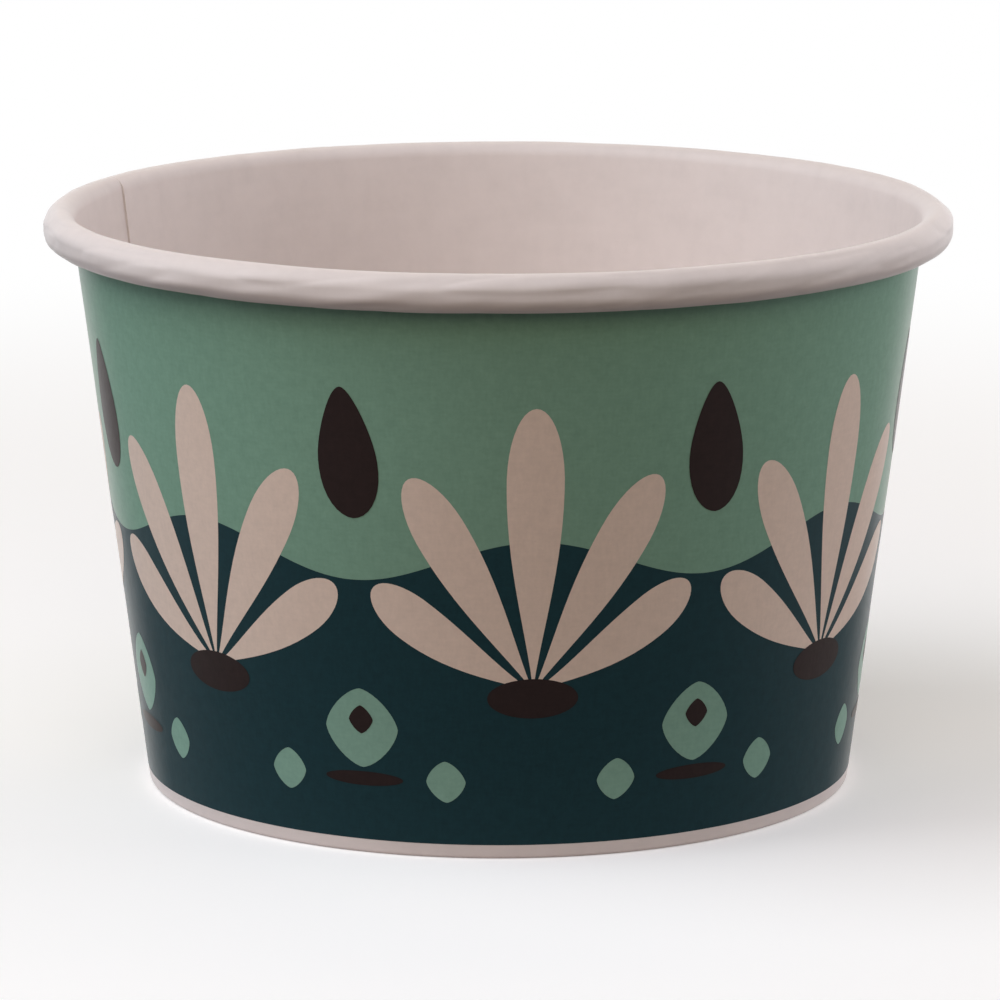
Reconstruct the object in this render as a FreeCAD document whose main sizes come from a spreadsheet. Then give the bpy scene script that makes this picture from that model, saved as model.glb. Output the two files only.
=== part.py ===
import FreeCAD, Part
import math
import os
import Sketcher

# A paper dessert cup: a conical sidewall rolled from one printed blank, and a punched base disc.
# The frame's origin is the middle of the foot, on the surface the cup stands on, with +Z up.
# The white face of the board is the cup's inside, the printed face its outside.

# Driving sizes in millimetres, and one angle in degrees
SIZES = (
    ("rim_diameter", 96.0, "outside of the rolled rim"),
    ("base_diameter", 75.0, "printed face where it would reach the ground"),
    ("cup_height", 61.5, "ground to the top of the rim"),
    ("board_thickness", 0.35, "sidewall board"),
    ("base_board", 0.35, "base disc board"),
    ("bead_width", 3.2, "rim's outside to the white face, level with the rim's top"),
    ("bead_flat", 0.7, "straight stretch on the outside of the rolled rim"),
    ("bead_gap", 0.1, "between the wall and the rim's tucked edge"),
    ("tuck_length", 0.8, "straight end of the board inside the rolled rim"),
    ("base_recess", 6.5, "ground to the top of the cup's floor"),
    ("base_bend", 0.35, "inner radius where the floor turns down into its skirt"),
    ("fold_radius", 0.08, "inner radius of the pressed fold at the foot"),
    ("hem_gap", 0.5, "hem's edge to the start of the floor's bend"),
    ("bond_gap", 0.05, "film between two bonded layers"),
    ("skirt_clearance", 0.15, "skirt's edge to the fold under it"),
    ("lap_width", 7.0, "overlap of the blank's two edges, straight across"),
    ("lap_slope", 5.0, "outer layer's slope down from the overlap to mid-board"),
    ("seam_angle", 156.0, "inner edge of the overlap, from +X"),
    ("round_sag", 0.07, "how far a round stretch may leave the chords that carry it"),
)

# The wall's line, as expressions of the sheet
FOOT = "(sizes.base_diameter / 2)"
RIM = "(sizes.rim_diameter / 2)"
MOUTH = f"({RIM} - sizes.bead_width)"
SPAN = f"sqrt(({MOUTH} - {FOOT})^2 + sizes.cup_height^2)"
TAPER = f"(atan(({MOUTH} - {FOOT}) / sizes.cup_height) + asin(sizes.board_thickness / {SPAN}))"
SKIRT_SPACE = "(sizes.base_board + 2 * sizes.bond_gap)"

# Heights that several features share
FOLD_TOP = "(sizes.board_thickness + sizes.fold_radius)"
HEM_TOP = "(sizes.base_recess - sizes.base_board - sizes.base_bend - sizes.hem_gap)"
SKIRT_END = "(sizes.board_thickness + sizes.skirt_clearance)"
BEAD_MIDDLE = "(sizes.cup_height - (sizes.bead_width + sizes.bead_flat) / 2)"
SEAM = "sizes.seam_angle * 1 deg"

# Sketcher's names for a point of an edge, and for the sketch's own axes and origin
START, END, CENTRE = range(1, 4)
HORIZONTAL_AXIS, VERTICAL_AXIS = range(-1, -3, -1)
ORIGIN = (HORIZONTAL_AXIS, START)
UP = math.pi / 2

doc = FreeCAD.newDocument("dessert_cup")


def make_sheet():
    """Put the driving sizes in a spreadsheet, each with its note and alias."""
    sheet = doc.addObject("Spreadsheet::Sheet", "sizes")
    for row, (alias, value, note) in enumerate(SIZES, start=1):
        sheet.set(f"A{row}", note)
        sheet.set(f"B{row}", str(value))
        sheet.setAlias(f"B{row}", alias)
    doc.recompute()
    return sheet


sizes = make_sheet()


def number(expression):
    """The present value of an expression: a length in mm, or an angle in radians."""
    result = sizes.evalExpression(expression)
    if isinstance(result, FreeCAD.Units.Quantity) and result.Unit.Type == "Angle":
        return math.radians(result.Value)
    return float(getattr(result, "Value", result))


def point(x, y):
    """A point of a sketch."""
    return FreeCAD.Vector(x, y, 0)


def polar(radius, angle):
    """A point of a sketch at a radius and angle round the sketch's origin."""
    return point(radius * math.cos(angle), radius * math.sin(angle))


def drive(sketch, name, kind, references, expression):
    """Add a dimension to a sketch and bind it to the sheet."""
    index = sketch.addConstraint(Sketcher.Constraint(kind, *references, number(expression)))
    sketch.renameConstraint(index, name)
    sketch.setExpression(f"Constraints.{name}", expression)


def hold(sketch, kind, *references):
    """Add a constraint that has no size."""
    sketch.addConstraint(Sketcher.Constraint(kind, *references))


def plane_sketch(body, name, role, height=None):
    """A sketch on one of its body's origin planes, raised to a height where one is given."""
    sketch = body.newObject("Sketcher::SketchObject", name)
    plane = next(item for item in body.Origin.OriginFeatures if item.Role == role)
    sketch.AttachmentSupport = (plane, [""])
    sketch.MapMode = "FlatFace"
    if height is not None:
        sketch.setExpression("AttachmentOffset.Base.z", height)
    return sketch


class BoardSection:
    """The board in half-section, drawn as a walk of lines and tangent arcs along its near face.

    The sketch stands in the XZ plane, its x the radius and its y the height. Each step draws the
    near face and, a board to the right of it, the far face. It gives back the pair of edges. A
    round stretch is a construction arc, and the board follows it by equal chords.
    """

    def __init__(self, body, name, place, heading, board):
        self.sketch = plane_sketch(body, name, "XZ_Plane")
        self.place = place
        self.heading = heading
        self.board = board
        self.ends = []

    def across(self):
        """The step from the near face to the far face."""
        return polar(self.board, self.heading - UP)

    def join(self, pair, first, last):
        """Make the new pair of edges start where the last pair ended, tangent to it."""
        if self.ends:
            for (earlier, point_of), later in zip(self.ends[-1], pair):
                hold(self.sketch, "Tangent", earlier, point_of, later, first)
        else:
            self.ends.append([(edge, first) for edge in pair])
        self.ends.append([(edge, last) for edge in pair])
        return pair

    def line(self, length):
        """Walk straight ahead."""
        pair = []
        for shift in (point(0, 0), self.across()):
            start = self.place + shift
            finish = start + polar(length, self.heading)
            pair.append(self.sketch.addGeometry(Part.LineSegment(start, finish), False))
        self.place += polar(length, self.heading)
        return self.join(pair, START, END)

    def arc(self, radius, turn):
        """Walk round an arc, to the left for a positive turn and to the right for a negative one."""
        side = math.copysign(UP, turn)
        centre = self.place + polar(radius, self.heading + side)
        begin = self.heading - side
        angles = sorted((begin, begin + turn))
        first, last = (START, END) if turn > 0 else (END, START)
        pair = []
        for size in (radius, radius + math.copysign(self.board, turn)):
            circle = Part.Circle(centre, FreeCAD.Vector(0, 0, 1), size)
            pair.append(self.sketch.addGeometry(Part.ArcOfCircle(circle, *angles), True))
        hold(self.sketch, "Coincident", pair[0], CENTRE, pair[1], CENTRE)
        self.place = centre + polar(radius, begin + turn)
        self.heading += turn
        self.join(pair, first, last)
        for edge in pair:
            self.follow(edge, begin, turn, first, last)
        return pair

    def follow(self, edge, begin, turn, first, last):
        """Lay equal chords along a construction arc, close enough to it for the allowed sag."""
        circle = self.sketch.Geometry[edge]
        widest = 2 * math.acos(max(1 - number("sizes.round_sag") / circle.Radius, 0))
        count = math.ceil(abs(turn) / widest)
        corners = [circle.Center + polar(circle.Radius, begin + turn * i / count) for i in range(count + 1)]
        chords = [
            self.sketch.addGeometry(Part.LineSegment(*ends), False) for ends in zip(corners, corners[1:])
        ]
        hold(self.sketch, "Coincident", chords[0], START, edge, first)
        hold(self.sketch, "Coincident", chords[-1], END, edge, last)
        for chord, following in zip(chords, chords[1:]):
            hold(self.sketch, "Coincident", chord, END, following, START)
            hold(self.sketch, "PointOnObject", following, START, edge)
            hold(self.sketch, "Equal", chord, following)

    def close(self):
        """Cut the board square at both of its ends."""
        for (near, near_end), (far, far_end) in (self.ends[0], self.ends[-1]):
            corners = [self.sketch.getPoint(near, near_end), self.sketch.getPoint(far, far_end)]
            cut = self.sketch.addGeometry(Part.LineSegment(*corners), False)
            hold(self.sketch, "Coincident", cut, START, near, near_end)
            hold(self.sketch, "Coincident", cut, END, far, far_end)
            hold(self.sketch, "Perpendicular", cut, near)
            hold(self.sketch, "Parallel", near, far)


def turn_section(body, sketch):
    """Turn a section round the cup's axis."""
    turned = body.newObject("PartDesign::Revolution", body.Name + "_turned")
    turned.Profile = sketch
    turned.ReferenceAxis = (sketch, ["V_Axis"])
    turned.Angle = 360
    doc.recompute()
    return turned


def printed_radius(height):
    """Radius of the wall's printed face at a height, as an expression."""
    return f"({FOOT} + {height} * tan({TAPER}))"


def white_radius(height):
    """Radius of the wall's white face at a height, as an expression."""
    return f"({printed_radius(height)} - sizes.board_thickness / cos({TAPER}))"


def hem_radius(height):
    """Radius of the hem's printed face, which looks at the axis, at a height."""
    return f"({white_radius(height)} - ({SKIRT_SPACE} + sizes.board_thickness) / cos({TAPER}))"


def draw_sidewall_section(body):
    """The white face from the hem's edge, through the fold, up the wall and round the rolled rim."""
    taper = number(TAPER)
    lean = math.tan(taper)
    board = number("sizes.board_thickness")
    fold = number("sizes.fold_radius")
    flat = number("sizes.bead_flat")
    height = number("sizes.cup_height")
    # The fold's flat is what is left between its two arcs
    wall_foot = number(white_radius("sizes.board_thickness"))
    space = number(SKIRT_SPACE) / math.cos(taper)
    outer_run = fold * math.tan((UP - taper) / 2)
    inner_run = fold * math.tan((UP + taper) / 2)
    hem_rise = number(HEM_TOP) - board
    # The rim's top arc touches the wall, the rim's height and its outside
    top_radius = number("sizes.bead_width") * math.cos(taper) / (1 + math.cos(taper) - math.sin(taper))
    wall_rise = height - top_radius * (1 - math.sin(taper)) - board
    # The lower arc touches the rim's outside and leaves the tucked edge its gap to the wall
    room = number("sizes.bead_width") + (top_radius + flat) * lean
    tuck_room = "sizes.board_thickness + sizes.bead_gap"
    low_radius = (room * math.cos(taper) - number(tuck_room)) / (1 + math.cos(taper))

    hem_edge = point(wall_foot - space + hem_rise * lean, number(HEM_TOP))
    section = BoardSection(body, "sidewall_section", hem_edge, -UP - taper, board)
    hem, _ = section.line(hem_rise / math.cos(taper) - inner_run)
    inner_fold, _ = section.arc(fold, UP + taper)
    foot, foot_printed = section.line(space - outer_run - inner_run)
    outer_fold, _ = section.arc(fold, UP - taper)
    wall, _ = section.line(wall_rise / math.cos(taper) - outer_run)
    rim_top, _ = section.arc(top_radius, taper - math.pi)
    rim_side, rim_side_printed = section.line(flat)
    section.arc(low_radius, -math.pi - taper)
    tuck, _ = section.line(number("sizes.tuck_length"))
    section.close()

    sketch = section.sketch
    # Two points fix the wall: the printed face at the ground, and the white face at the rim's height
    ground = sketch.addGeometry(Part.Point(point(number(FOOT), 0)), True)
    mouth = sketch.addGeometry(Part.Point(point(number(MOUTH), height)), True)
    hold(sketch, "PointOnObject", ground, START, HORIZONTAL_AXIS)
    drive(sketch, "foot_radius", "DistanceX", (*ORIGIN, ground, START), FOOT)
    drive(sketch, "wall_board", "Distance", (ground, START, wall), "sizes.board_thickness")
    hold(sketch, "PointOnObject", mouth, START, wall)
    drive(sketch, "mouth_radius", "DistanceX", (*ORIGIN, mouth, START), MOUTH)
    drive(sketch, "mouth_height", "DistanceY", (*ORIGIN, mouth, START), "sizes.cup_height")
    # The fold at the foot, whose printed face meets the ground, and the hem behind it
    hold(sketch, "Horizontal", foot)
    hold(sketch, "Horizontal", foot_printed)
    hold(sketch, "PointOnObject", foot_printed, START, HORIZONTAL_AXIS)
    drive(sketch, "foot_board", "DistanceY", (*ORIGIN, foot, START), "sizes.board_thickness")
    drive(sketch, "outer_fold", "Radius", (outer_fold,), "sizes.fold_radius")
    drive(sketch, "inner_fold", "Radius", (inner_fold,), "sizes.fold_radius")
    hold(sketch, "Parallel", hem, wall)
    drive(sketch, "skirt_space", "Distance", (hem, START, wall), SKIRT_SPACE)
    drive(sketch, "hem_top", "DistanceY", (*ORIGIN, hem, START), HEM_TOP)
    # The rolled rim, whose highest point is marked by a spoke of its top arc
    hold(sketch, "Vertical", rim_side)
    hold(sketch, "Vertical", rim_side_printed)
    drive(sketch, "rim_radius", "DistanceX", (*ORIGIN, rim_side, START), RIM)
    rim_board = (rim_side_printed, START, rim_side, START)
    drive(sketch, "rim_board", "DistanceX", rim_board, "sizes.board_thickness")
    drive(sketch, "rim_flat", "DistanceY", (rim_side, END, rim_side, START), "sizes.bead_flat")
    centre = point(number(RIM) - top_radius, height - top_radius)
    spoke = sketch.addGeometry(Part.LineSegment(centre, centre + point(0, top_radius)), True)
    hold(sketch, "Coincident", spoke, START, rim_top, CENTRE)
    hold(sketch, "PointOnObject", spoke, END, rim_top)
    hold(sketch, "Vertical", spoke)
    drive(sketch, "rim_height", "DistanceY", (*ORIGIN, spoke, END), "sizes.cup_height")
    hold(sketch, "Parallel", tuck, wall)
    drive(sketch, "tuck_place", "Distance", (tuck, START, wall), tuck_room)
    drive(sketch, "tuck_length", "Distance", (tuck, START, tuck, END), "sizes.tuck_length")
    return sketch


def draw_base_section(body):
    """The base disc's upper face from the axis, round the bend and down the skirt's outside."""
    taper = number(TAPER)
    board = number("sizes.base_board")
    bend_size = "sizes.base_bend + sizes.base_board"
    bend = number(bend_size)
    level = number("sizes.base_recess")
    reach = number(f"{white_radius('sizes.base_recess')} - sizes.bond_gap / cos({TAPER})")
    run = bend * math.tan((UP + taper) / 2)
    section = BoardSection(body, "base_section", point(0, level), 0, board)
    floor, _ = section.line(reach - run)
    corner, inner_corner = section.arc(bend, -UP - taper)
    skirt, _ = section.line((level - number(SKIRT_END)) / math.cos(taper) - run)
    section.close()

    sketch = section.sketch
    hold(sketch, "PointOnObject", floor, START, VERTICAL_AXIS)
    hold(sketch, "Horizontal", floor)
    drive(sketch, "floor_height", "DistanceY", (*ORIGIN, floor, START), "sizes.base_recess")
    drive(sketch, "corner_radius", "Radius", (corner,), bend_size)
    drive(sketch, "bend_radius", "Radius", (inner_corner,), "sizes.base_bend")
    ground = sketch.addGeometry(Part.Point(point(number(FOOT), 0)), True)
    hold(sketch, "PointOnObject", ground, START, HORIZONTAL_AXIS)
    drive(sketch, "foot_radius", "DistanceX", (*ORIGIN, ground, START), FOOT)
    to_skirt = "sizes.board_thickness + sizes.bond_gap"
    drive(sketch, "skirt_place", "Distance", (ground, START, skirt), to_skirt)
    drive(sketch, "skirt_lean", "Angle", (skirt, END, VERTICAL_AXIS, START), TAPER)
    drive(sketch, "skirt_end", "DistanceY", (*ORIGIN, skirt, END), SKIRT_END)
    return sketch


def join_in_turn(sketch, edges):
    """Close a loop of edges, each given as its index, first point and last point."""
    for (index, _, last), (following, first, _) in zip(edges, edges[1:] + edges[:1]):
        hold(sketch, "Coincident", index, last, following, first)


def chord_angle(chord, near, far):
    """Angle at the axis between two points at radii near and far that lie a chord apart."""
    return math.acos((near**2 + far**2 - chord**2) / (2 * near * far))


def draw_lap(body, name, height, face, away):
    """The overlap's second layer in plan: a free edge, the layer, and its slope into the board.

    away is "+" where the printed face looks away from the axis, and "-" on the hem.
    """
    back = "-" if away == "+" else "+"
    top_size = f"{face(height)} {away} sizes.board_thickness"
    root_size = f"{face(height)} {back} sizes.board_thickness / 2"
    top = number(top_size)
    root = number(root_size)
    seam = math.radians(number("sizes.seam_angle"))
    edge = seam - chord_angle(number("sizes.lap_width"), top, top)
    slope_end = seam + chord_angle(number("sizes.lap_slope"), top, root)

    sketch = plane_sketch(body, name, "XY_Plane", height)
    axis = FreeCAD.Vector(0, 0, 1)
    outer_circle = Part.Circle(point(0, 0), axis, top)
    inner_circle = Part.Circle(point(0, 0), axis, root)
    layer = sketch.addGeometry(Part.ArcOfCircle(outer_circle, edge, seam), False)
    slope = sketch.addGeometry(Part.LineSegment(polar(top, seam), polar(root, slope_end)), False)
    heart = sketch.addGeometry(Part.ArcOfCircle(inner_circle, edge, slope_end), False)
    step = sketch.addGeometry(Part.LineSegment(polar(root, edge), polar(top, edge)), False)
    spoke = sketch.addGeometry(Part.LineSegment(point(0, 0), polar(top, seam)), True)
    loop = [(layer, START, END), (slope, START, END), (heart, END, START), (step, START, END)]
    join_in_turn(sketch, loop)
    hold(sketch, "Coincident", layer, CENTRE, *ORIGIN)
    hold(sketch, "Coincident", heart, CENTRE, *ORIGIN)
    hold(sketch, "Coincident", spoke, START, *ORIGIN)
    hold(sketch, "Coincident", spoke, END, slope, START)
    hold(sketch, "PointOnObject", *ORIGIN, step)
    drive(sketch, "seam_place", "Angle", (HORIZONTAL_AXIS, START, spoke, START), SEAM)
    drive(sketch, "layer_radius", "Radius", (layer,), top_size)
    drive(sketch, "root_radius", "Radius", (heart,), root_size)
    drive(sketch, "lap_across", "Distance", (layer, START, layer, END), "sizes.lap_width")
    drive(sketch, "slope_length", "Distance", (slope, START, slope, END), "sizes.lap_slope")
    return sketch


def draw_groove(body, name, height, face, away):
    """The wedge of air beside the overlap's inner edge, where the outer layer climbs over it."""
    top_size = f"{face(height)} {away} sizes.board_thickness"
    root_size = f"{face(height)} - sizes.board_thickness / 2"
    top = number(top_size)
    root = number(root_size)
    seam = math.radians(number("sizes.seam_angle"))
    slope_end = seam + chord_angle(number("sizes.lap_slope"), top, root)

    sketch = plane_sketch(body, name, "XY_Plane", height)
    corners = [polar(root, seam), polar(top, seam), polar(root, slope_end)]
    step = sketch.addGeometry(Part.LineSegment(corners[0], corners[1]), False)
    slope = sketch.addGeometry(Part.LineSegment(corners[1], corners[2]), False)
    mouth = sketch.addGeometry(Part.LineSegment(corners[2], corners[0]), False)
    join_in_turn(sketch, [(step, START, END), (slope, START, END), (mouth, START, END)])
    hold(sketch, "PointOnObject", *ORIGIN, step)
    drive(sketch, "seam_place", "Angle", (HORIZONTAL_AXIS, START, step, START), SEAM)
    drive(sketch, "top_radius", "Distance", (*ORIGIN, step, END), top_size)
    drive(sketch, "root_radius", "Distance", (*ORIGIN, step, START), root_size)
    drive(sketch, "mouth_end", "Distance", (*ORIGIN, mouth, START), root_size)
    drive(sketch, "slope_length", "Distance", (slope, START, slope, END), "sizes.lap_slope")
    return sketch


def loft(body, kind, name, draw, low, high, face, away="+"):
    """A straight-sided loft along the wall between two level sections."""
    low_sketch = draw(body, name + "_low", low, face, away)
    high_sketch = draw(body, name + "_high", high, face, away)
    feature = body.newObject(kind, name)
    feature.Profile = low_sketch
    feature.Sections = [(high_sketch, [""])]
    feature.Ruled = True
    doc.recompute()
    return feature


def build_sidewall():
    """The rolled blank: turned section, second layers of the overlap, and the groove inside it."""
    body = doc.addObject("PartDesign::Body", "sidewall")
    turned = turn_section(body, draw_sidewall_section(body))
    wall_lap = loft(
        body, "PartDesign::AdditiveLoft", "wall_lap", draw_lap, FOLD_TOP, BEAD_MIDDLE, printed_radius
    )
    hem_lap = loft(
        body, "PartDesign::AdditiveLoft", "hem_lap", draw_lap, FOLD_TOP, HEM_TOP, hem_radius, "-"
    )
    groove = loft(
        body, "PartDesign::SubtractiveLoft", "seam_groove", draw_groove, FOLD_TOP, BEAD_MIDDLE, white_radius
    )
    volumes = [feature.Shape.Volume for feature in (turned, wall_lap, hem_lap)]
    if volumes != sorted(volumes) or groove.Shape.Volume >= hem_lap.Shape.Volume:
        raise RuntimeError("a layer of the overlap adds nothing, or the groove cuts nothing")
    return body


def build_base():
    """The punched disc with its skirt turned down, which the foot's fold holds."""
    body = doc.addObject("PartDesign::Body", "base_disc")
    turn_section(body, draw_base_section(body))
    return body


def finish_node(node, label):
    """Name a sub-part, place it and check its solid."""
    node.Label = label
    node.Placement = FreeCAD.Placement(FreeCAD.Vector(0, 0, 0), FreeCAD.Rotation())
    doc.recompute()
    shape = node.Shape
    if shape.isNull() or not shape.isValid() or len(shape.Solids) != 1:
        raise RuntimeError(f"{label} is not one valid solid")
    return node


nodes = [
    finish_node(build_sidewall(), "sidewall"),
    finish_node(build_base(), "base_disc"),
]

for made in doc.Objects:
    if {"Invalid", "Error"} & set(made.State):
        raise RuntimeError(f"{made.Name} failed: {made.State}")

os.makedirs("parts", exist_ok=True)
for node in nodes:
    node.Shape.exportStep(os.path.join("parts", node.Label + ".step"))
    box = node.Shape.BoundBox
    print(node.Label, "volume", round(node.Shape.Volume, 1), "height", round(box.ZMin, 3), round(box.ZMax, 3))
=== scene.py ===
"""Dress the paper dessert cup: rolled sidewall, print, base disc, soft studio and camera.

The frame's origin is the middle of the foot, on the surface the cup stands on, with +Z up.
All lengths are in metres and all angles in radians.
"""

import logging
import math
from collections.abc import Callable, Iterator, Mapping, Sequence
from dataclasses import dataclass, field
from enum import Enum
from functools import cached_property

import bmesh
import bpy
from bpy.types import ID, Material, Mesh, Node, NodeSocket, NodeTree, Object, World
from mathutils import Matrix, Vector, geometry, noise

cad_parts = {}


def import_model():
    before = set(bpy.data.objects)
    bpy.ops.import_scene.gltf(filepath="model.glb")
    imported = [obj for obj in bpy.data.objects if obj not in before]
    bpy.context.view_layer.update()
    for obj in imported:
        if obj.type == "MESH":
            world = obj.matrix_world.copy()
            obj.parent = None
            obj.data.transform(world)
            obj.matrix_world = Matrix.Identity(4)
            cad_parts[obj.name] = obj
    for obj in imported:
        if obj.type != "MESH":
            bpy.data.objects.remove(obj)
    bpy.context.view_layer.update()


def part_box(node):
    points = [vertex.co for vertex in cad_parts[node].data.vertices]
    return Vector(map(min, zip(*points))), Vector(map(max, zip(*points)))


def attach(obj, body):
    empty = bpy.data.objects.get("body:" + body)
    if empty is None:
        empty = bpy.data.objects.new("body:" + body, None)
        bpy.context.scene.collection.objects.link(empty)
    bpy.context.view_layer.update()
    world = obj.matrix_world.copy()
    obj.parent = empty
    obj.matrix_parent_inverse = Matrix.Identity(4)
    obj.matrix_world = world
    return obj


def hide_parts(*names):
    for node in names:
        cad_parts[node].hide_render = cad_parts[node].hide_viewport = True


log = logging.getLogger("dessert_cup")

MM = 0.001
TURN = 2 * math.pi
UP = math.pi / 2
BAKE_MAP = "OFBake"

# The streaks are laid out on the wall's mean radius, and their ends meet at the back left
WEAVE_RADIUS = 42 * MM
WEAVE_BREAK = math.radians(33)

# Where between a straight and a glancing look the coating starts to shine, and where it is whole
GLAZE_ANGLES = (0.64, 1.0)

CUT_PRECISION = 1e-8

Colour = tuple[float, float, float]
Outline = list[tuple[float, float]]
Given = NodeSocket | float | Sequence[float]


def linear(*screen: int) -> Colour:
    """The linear colour that shaders use, for a screen colour with shares of 0 to 255."""
    shares = [value / 255 for value in screen]
    return tuple(s / 12.92 if s <= 0.04045 else ((s + 0.055) / 1.055) ** 2.4 for s in shares)


def smooth_step(value: float) -> float:
    """Ease a share from 0 to 1, level at both ends."""
    share = min(max(value, 0.0), 1.0)
    return share * share * (3 - 2 * share)


def on_turn(radius: float, angle: float, height: float) -> Vector:
    """A point of the frame from its radius, its angle round the axis and its height."""
    return Vector((radius * math.cos(angle), radius * math.sin(angle), height))


@dataclass(frozen=True)
class CupSizes:
    """The cup's driving sizes. The rim's radius comes from the frame."""

    rim_radius: float
    height: float = 61.5 * MM
    foot_radius: float = 37.5 * MM
    board: float = 0.35 * MM
    base_board: float = 0.35 * MM
    bead_width: float = 3.2 * MM
    bead_flat: float = 0.7 * MM
    bead_gap: float = 0.1 * MM
    tuck_length: float = 0.8 * MM
    floor_height: float = 6.5 * MM
    floor_bend: float = 0.35 * MM
    fold_radius: float = 0.08 * MM
    hem_gap: float = 0.5 * MM
    bond_gap: float = 0.05 * MM
    skirt_clearance: float = 0.15 * MM
    lap_width: float = 7.0 * MM
    lap_slope: float = 5.0 * MM
    seam_angle: float = math.radians(156)

    @property
    def taper(self) -> float:
        """The wall's lean away from the axis."""
        run = self.rim_radius - self.bead_width - self.foot_radius
        span = math.hypot(run, self.height)
        return math.atan(run / self.height) + math.asin(self.board / span)

    def printed_radius(self, height: float) -> float:
        """Radius of the wall's printed face at a height."""
        return self.foot_radius + height * math.tan(self.taper)

    def white_radius(self, height: float) -> float:
        """Radius of the wall's white face at a height."""
        return self.printed_radius(height) - self.board / math.cos(self.taper)

    @property
    def hem_top(self) -> float:
        """Height of the hem's edge, inside the foot."""
        return self.floor_height - self.base_board - self.floor_bend - self.hem_gap

    @property
    def skirt_end(self) -> float:
        """Height of the base disc's skirt edge, over the foot's fold."""
        return self.board + self.skirt_clearance

    def lap_start(self, height: float) -> float:
        """Angle of the overlap's free outer edge at a height."""
        return self.seam_angle - self.lap_width / self.printed_radius(height)

    def slope_end(self, height: float) -> float:
        """Angle at which the outer layer has come down to the plain wall."""
        return self.seam_angle + self.lap_slope / self.printed_radius(height)


class Zone(Enum):
    """Stretches of the sidewall board in half-section."""

    HEM = "hem"
    FOLD = "fold"
    WALL = "wall"
    RIM = "rim"


@dataclass(frozen=True)
class Station:
    """One place on the board's half-section.

    Attributes:
        radius: Radius of the white face.
        height: Height of the white face.
        heading: Direction of the walk along the board.
        along: Distance walked so far.
        zone: The stretch that the place lies on.
    """

    radius: float
    height: float
    heading: float
    along: float
    zone: Zone

    def off(self, angle: float, distance: float) -> Vector:
        """A point at an angle, so far off the white face towards the printed face."""
        facing = self.heading - UP
        radius = self.radius + distance * math.cos(facing)
        return on_turn(radius, angle, self.height + distance * math.sin(facing))


@dataclass
class BoardWalk:
    """A walk along the board's white face, made of straight runs and tangent rounds."""

    radius: float
    height: float
    heading: float
    along: float = 0.0
    stations: list[Station] = field(default_factory=list)

    def mark(self, zone: Zone) -> None:
        """Keep the present place as a station."""
        place = Station(self.radius, self.height, self.heading, self.along, zone)
        self.stations.append(place)

    def run(self, length: float, steps: int, zone: Zone) -> None:
        """Walk straight ahead in equal steps.

        Args:
            length: How far to walk.
            steps: Number of stations on the way.
            zone: The stretch that this is.
        """
        for _ in range(steps):
            self.radius += length / steps * math.cos(self.heading)
            self.height += length / steps * math.sin(self.heading)
            self.along += length / steps
            self.mark(zone)

    def round(self, radius: float, turn: float, steps: int, zone: Zone) -> None:
        """Walk round an arc, to the left for a positive turn.

        Args:
            radius: The white face's radius on this arc.
            turn: How far the heading turns.
            steps: Number of stations on the way.
            zone: The stretch that this is.
        """
        chord = 2 * radius * math.sin(abs(turn) / steps / 2)
        for _ in range(steps):
            self.heading += turn / steps / 2
            self.radius += chord * math.cos(self.heading)
            self.height += chord * math.sin(self.heading)
            self.heading += turn / steps / 2
            self.along += radius * abs(turn) / steps
            self.mark(zone)


def walk_sidewall(sizes: CupSizes) -> list[Station]:
    """Walk the sidewall board from the hem's edge, up the wall and round the rolled rim.

    Args:
        sizes: The cup's sizes.

    Returns:
        The stations in order.
    """
    taper = sizes.taper
    lean, slant = math.tan(taper), math.cos(taper)
    space = (sizes.base_board + 2 * sizes.bond_gap) / slant
    hem_rise = sizes.hem_top - sizes.board
    outer_run = sizes.fold_radius * math.tan((UP - taper) / 2)
    inner_run = sizes.fold_radius * math.tan((UP + taper) / 2)
    top_radius = sizes.bead_width * slant / (1 + slant - math.sin(taper))
    wall_rise = sizes.height - top_radius * (1 - math.sin(taper)) - sizes.board
    room = sizes.bead_width + (top_radius + sizes.bead_flat) * lean
    low_radius = (room * slant - sizes.board - sizes.bead_gap) / (1 + slant)

    hem_radius = sizes.white_radius(sizes.board) - space + hem_rise * lean
    walk = BoardWalk(hem_radius, sizes.hem_top, -UP - taper)
    walk.mark(Zone.HEM)
    walk.run(hem_rise / slant - inner_run, steps=5, zone=Zone.HEM)
    walk.round(sizes.fold_radius, UP + taper, steps=5, zone=Zone.FOLD)
    walk.run(space - outer_run - inner_run, steps=1, zone=Zone.FOLD)
    walk.round(sizes.fold_radius, UP - taper, steps=5, zone=Zone.FOLD)
    walk.run(wall_rise / slant - outer_run, steps=20, zone=Zone.WALL)
    walk.round(top_radius, taper - math.pi, steps=22, zone=Zone.RIM)
    walk.run(sizes.bead_flat, steps=2, zone=Zone.RIM)
    walk.round(low_radius, -math.pi - taper, steps=18, zone=Zone.RIM)
    walk.run(sizes.tuck_length, steps=2, zone=Zone.RIM)
    return walk.stations


@dataclass(frozen=True)
class Column:
    """One column of the rolled blank, which may lie on the overlap.

    Attributes:
        first: Angle of the stretch's start at a height.
        last: Angle of the stretch's end at a height.
        share: Place of the column within its stretch, from 0 to 1.
        lift: How far the printed face stands off, in boards.
        sink: How far the white face sinks in, in boards.
    """

    first: Callable[[float], float]
    last: Callable[[float], float]
    share: float
    lift: float
    sink: float

    def angle(self, height: float) -> float:
        """The column's angle at a height."""
        start = self.first(height)
        return start + self.share * (self.last(height) - start)


def ripple(angle: float, waves: float, up: float) -> float:
    """Smooth noise of -1 to 1 at an angle round the axis and a place up, counted in waves."""
    return noise.noise(Vector((waves * math.cos(angle), waves * math.sin(angle), up)))


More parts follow.
